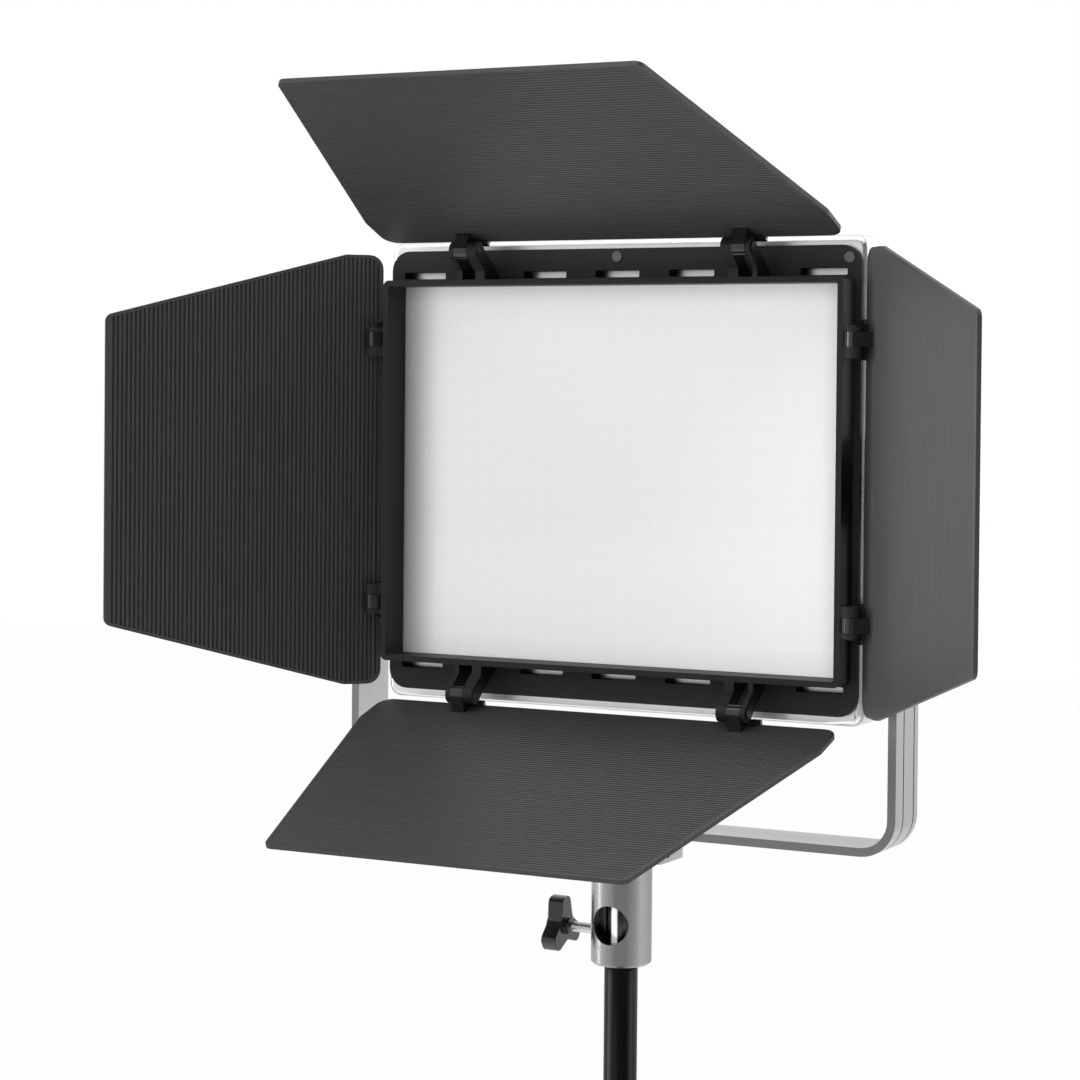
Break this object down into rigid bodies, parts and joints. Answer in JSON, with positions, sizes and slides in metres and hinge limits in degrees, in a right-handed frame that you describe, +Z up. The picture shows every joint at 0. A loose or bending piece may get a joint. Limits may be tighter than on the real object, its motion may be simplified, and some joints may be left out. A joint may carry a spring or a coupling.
{
  "type": "led panel light",
  "caption": "Flat LED panel lamp with hinged barn doors on a black slotted frame, carried in a grooved U yoke with a round stand receiver and lock knob.",
  "frame": {"origin": "centre of the stand receiver's socket mouth, on the socket's axis", "axes": "+Z up along the socket axis, -Y is the way the light faces, +X is the light's left side"},
  "size_m": [0.4392, 0.2212, 0.4075],
  "materials": {
    "satin_alu": "satin",
    "bead_alu": "bead blasted",
    "black_sheet": "fine textured black",
    "black_door": "ribbed, satin black anodised",
    "black_plastic": "moulded",
    "gloss_black": "moulded, slight gloss",
    "steel": "zinc plated",
    "dark_steel": "black oxide",
    "brass": "turned",
    "diffuser": "opal satin",
    "white_plastic": "reflector white",
    "board_white": "white solder mask",
    "board_green": "solder mask",
    "led_cool": "phosphor",
    "led_warm": "phosphor",
    "rubber": "soft",
    "dark_alu": "dark anodised",
    "display": "tinted window",
    "grey_plastic": "moulded"
  },
  "bodies": {
    "mount": {"stand_receiver": "bead_alu", "yoke_hub": "bead_alu", "yoke_bracket": "satin_alu", "yoke_bushings": "black_plastic", "hub_bolts": "steel", "centre_bolt": "steel", "hub_set_screws": "dark_steel"},
    "lock_slider": {"lock_pad": "brass"},
    "lock_handle": {"lock_screw": "steel", "lock_knob": "gloss_black"},
    "tilt_slider_l": {"tilt_washer_l": "steel"},
    "tilt_handle_l": {"tilt_stud_l": "steel", "tilt_knob_l": "gloss_black"},
    "tilt_slider_r": {"tilt_washer_r": "steel"},
    "tilt_handle_r": {"tilt_stud_r": "steel", "tilt_knob_r": "gloss_black"},
    "head": {"front_bezel": "satin_alu", "diffuser": "diffuser", "diffuser_gasket": "rubber", "light_box": "white_plastic", "led_board": "board_white", "leds_cool": "led_cool", "leds_warm": "led_warm", "heat_spreader": "satin_alu", "rear_cover": "dark_alu", "heat_sink": "dark_alu", "cover_screws": "dark_steel", "driver_board": "board_green", "driver_parts": "grey_plastic", "control_board": "board_green", "control_parts": "grey_plastic", "control_panel": "black_plastic", "display_window": "display", "switch_housing": "black_plastic", "dc_socket": "black_plastic", "ribbon_cable": "grey_plastic", "side_bosses": "black_sheet", "boss_screws": "steel", "friction_washers": "rubber", "barn_frame": "black_sheet", "frame_screws": "dark_steel", "hinge_pins": "dark_steel"},
    "door_top": {"door_panel_top": "black_door", "door_clips_top": "gloss_black", "clip_screws_top": "dark_steel"},
    "door_bottom": {"door_panel_bottom": "black_door", "door_clips_bottom": "gloss_black", "clip_screws_bottom": "dark_steel"},
    "door_left": {"door_panel_left": "black_door", "door_clips_left": "gloss_black", "clip_screws_left": "dark_steel"},
    "door_right": {"door_panel_right": "black_door", "door_clips_right": "gloss_black", "clip_screws_right": "dark_steel"},
    "dimmer": {"dimmer_knob": "black_plastic"},
    "colour": {"colour_knob": "black_plastic"},
    "mode_key": {"mode_button": "grey_plastic"},
    "menu_key": {"menu_button": "grey_plastic"},
    "rocker": {"power_rocker": "gloss_black"}
  },
  "joints": [
    {"name": "tilt", "type": "hinge", "parent": "mount", "child": "head", "pos_m": [0, 0, 0.233], "axis": [-1, 0, 0], "range_deg": [-5.5, 90]},
    {"name": "door_top_hinge", "type": "hinge", "parent": "head", "child": "door_top", "pos_m": [0, -0.031, 0.339], "axis": [-1, 0, 0], "range_deg": [-112.7, 25.3]},
    {"name": "door_bottom_hinge", "type": "hinge", "parent": "head", "child": "door_bottom", "pos_m": [0, -0.031, 0.127], "axis": [1, 0, 0], "range_deg": [-103, 31]},
    {"name": "door_left_hinge", "type": "hinge", "parent": "head", "child": "door_left", "pos_m": [-0.12466, -0.02425, 0.233], "axis": [0, 0, -1], "range_deg": [-134.7, 25.3]},
    {"name": "door_right_hinge", "type": "hinge", "parent": "head", "child": "door_right", "pos_m": [0.12466, -0.02425, 0.233], "axis": [0, 0, 1], "range_deg": [-128.2, 30.1]},
    {"name": "lock_turn", "type": "hinge", "parent": "lock_slider", "child": "lock_handle", "pos_m": [0, 0, 0.0148], "axis": [-1, 0, 0], "range_deg": [-362, 903]},
    {"name": "lock_travel", "type": "slide", "parent": "mount", "child": "lock_slider", "axis": [-1, 0, 0], "range_m": [-0.00125, 0.00313]},
    {"name": "tilt_lock_l_turn", "type": "hinge", "parent": "tilt_slider_l", "child": "tilt_handle_l", "pos_m": [-0.15, 0, 0.233], "axis": [-1, 0, 0], "range_deg": [-2, 724]},
    {"name": "tilt_lock_l_travel", "type": "slide", "parent": "mount", "child": "tilt_slider_l", "axis": [-1, 0, 0], "range_m": [0, 0.0025]},
    {"name": "tilt_lock_r_turn", "type": "hinge", "parent": "tilt_slider_r", "child": "tilt_handle_r", "pos_m": [0.15, 0, 0.233], "axis": [1, 0, 0], "range_deg": [-2, 724]},
    {"name": "tilt_lock_r_travel", "type": "slide", "parent": "mount", "child": "tilt_slider_r", "axis": [1, 0, 0], "range_m": [0, 0.0025]},
    {"name": "dimmer_turn", "type": "hinge", "parent": "head", "child": "dimmer", "pos_m": [0.004, 0.03, 0.167], "axis": [0, 1, 0], "continuous": true},
    {"name": "colour_turn", "type": "hinge", "parent": "head", "child": "colour", "pos_m": [0.032, 0.03, 0.167], "axis": [0, 1, 0], "continuous": true},
    {"name": "mode_press", "type": "slide", "parent": "head", "child": "mode_key", "axis": [0, -1, 0], "range_m": [0, 0.0012], "stiffness_N_per_m": 60},
    {"name": "menu_press", "type": "slide", "parent": "head", "child": "menu_key", "axis": [0, -1, 0], "range_m": [0, 0.0012], "stiffness_N_per_m": 60},
    {"name": "power_switch", "type": "hinge", "parent": "head", "child": "rocker", "pos_m": [0.056, 0.0305, 0.167], "axis": [-1, 0, 0], "range_deg": [0, 14]}
  ],
  "couplings": [
    {"joint": "lock_turn", "follows": "lock_travel", "rad_per_m": 5026.5},
    {"joint": "tilt_lock_l_turn", "follows": "tilt_lock_l_travel", "rad_per_m": 5026.5},
    {"joint": "tilt_lock_r_turn", "follows": "tilt_lock_r_travel", "rad_per_m": 5026.5}
  ]
}
